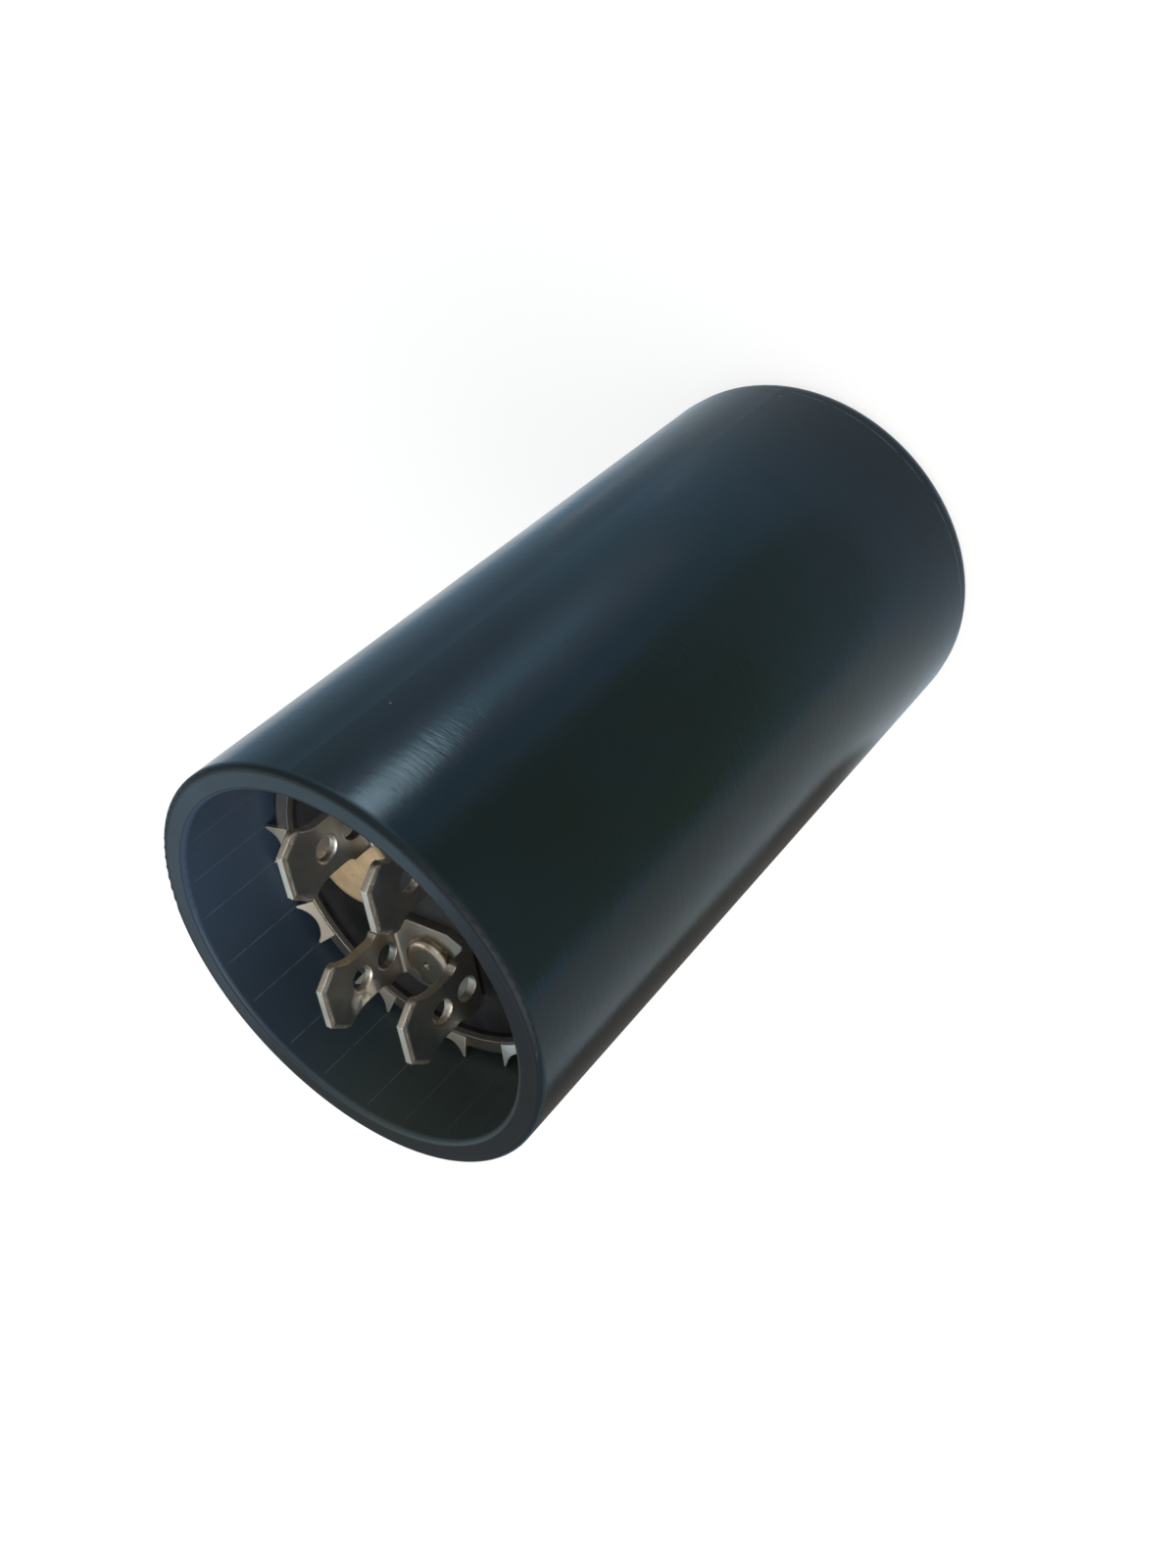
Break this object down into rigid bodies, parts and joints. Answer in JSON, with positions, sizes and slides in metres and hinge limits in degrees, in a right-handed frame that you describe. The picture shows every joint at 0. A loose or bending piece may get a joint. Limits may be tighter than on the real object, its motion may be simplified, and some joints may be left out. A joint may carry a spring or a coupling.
{
  "type": "motor start capacitor",
  "caption": "Cylindrical black phenolic motor start capacitor with folded quick-connect tabs, riveted to a disc that a star ring holds in its open mouth.",
  "frame": {"origin": "centre of the closed end, on the surface that it stands on", "axes": "+Z along the case's axis, from the closed end to the open mouth; +X from the left terminal to the right one; the tabs face -Y and +Y"},
  "size_m": [0.0364, 0.0364, 0.07],
  "materials": {
    "case_phenolic": "semi-gloss moulded phenolic, black with a blue cast",
    "disc_phenolic": "matt black phenolic with dust",
    "seal_rubber": "black rubber",
    "vent_rubber": "tan rubber with dark specks",
    "spring_steel": "bright plated spring steel",
    "plated_sheet": "bright tin plate with fine handling marks",
    "rivet_steel": "plated, satin",
    "lead_aluminium": "bare strip",
    "soaked_paper": "paper and foil roll, soaked",
    "wrap_paper": "plain paper sleeve",
    "card": "plain card"
  },
  "bodies": {
    "root": {"case": "case_phenolic", "end_disc": "disc_phenolic", "seal_gasket": "seal_rubber", "vent_plug": "vent_rubber", "retaining_ring": "spring_steel", "terminal_left": "plated_sheet", "terminal_right": "plated_sheet", "rivet_left": "rivet_steel", "rivet_right": "rivet_steel", "rivet_washer_left": "rivet_steel", "rivet_washer_right": "rivet_steel", "lead_tab_left": "lead_aluminium", "lead_tab_right": "lead_aluminium", "wound_element": "soaked_paper", "element_wrap": "wrap_paper", "top_insulator": "card", "base_pad": "card"}
  },
  "joints": []
}
